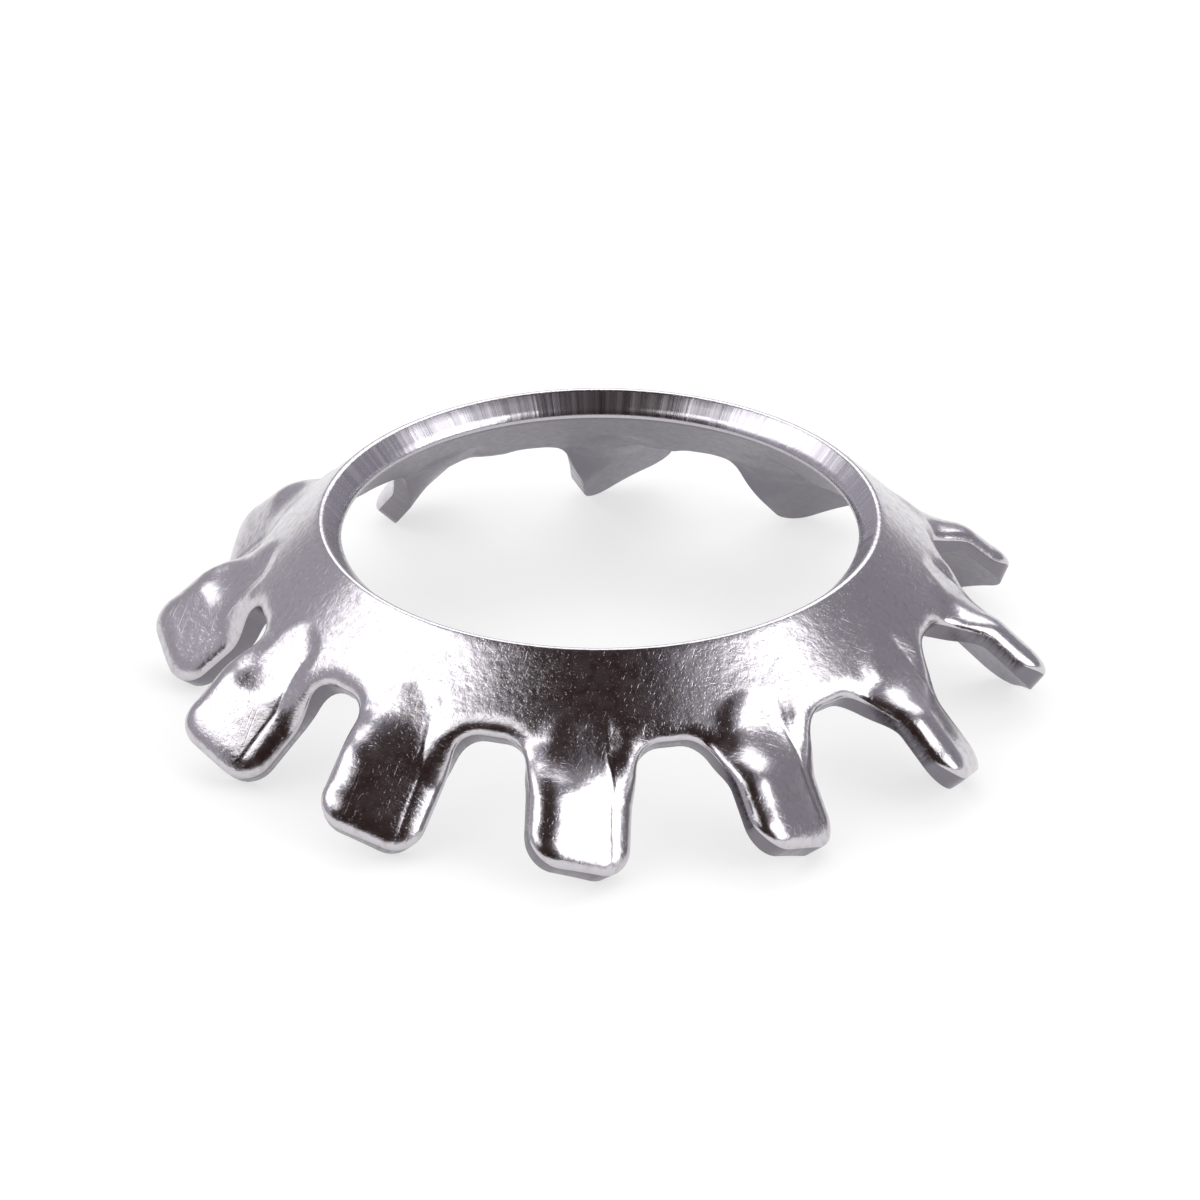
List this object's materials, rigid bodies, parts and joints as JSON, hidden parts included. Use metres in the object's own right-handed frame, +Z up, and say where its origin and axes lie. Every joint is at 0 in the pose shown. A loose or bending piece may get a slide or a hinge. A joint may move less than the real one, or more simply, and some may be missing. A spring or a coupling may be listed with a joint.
{
  "type": "toothed lock washer",
  "caption": "Thin conical steel washer with a ring of twisted teeth around its wide edge, for locking under a countersunk screw head.",
  "frame": {"origin": "on the bore axis, in the plane of the tooth tips that the washer stands on", "axes": "+Z up along the bore axis, from the toothed wide end to the small end; +X through the middle of one tooth's root"},
  "size_m": [0.0114, 0.0114, 0.0024],
  "materials": {
    "stainless_steel": "bright, tumbled"
  },
  "bodies": {
    "root": {"washer": "stainless_steel"}
  },
  "joints": []
}
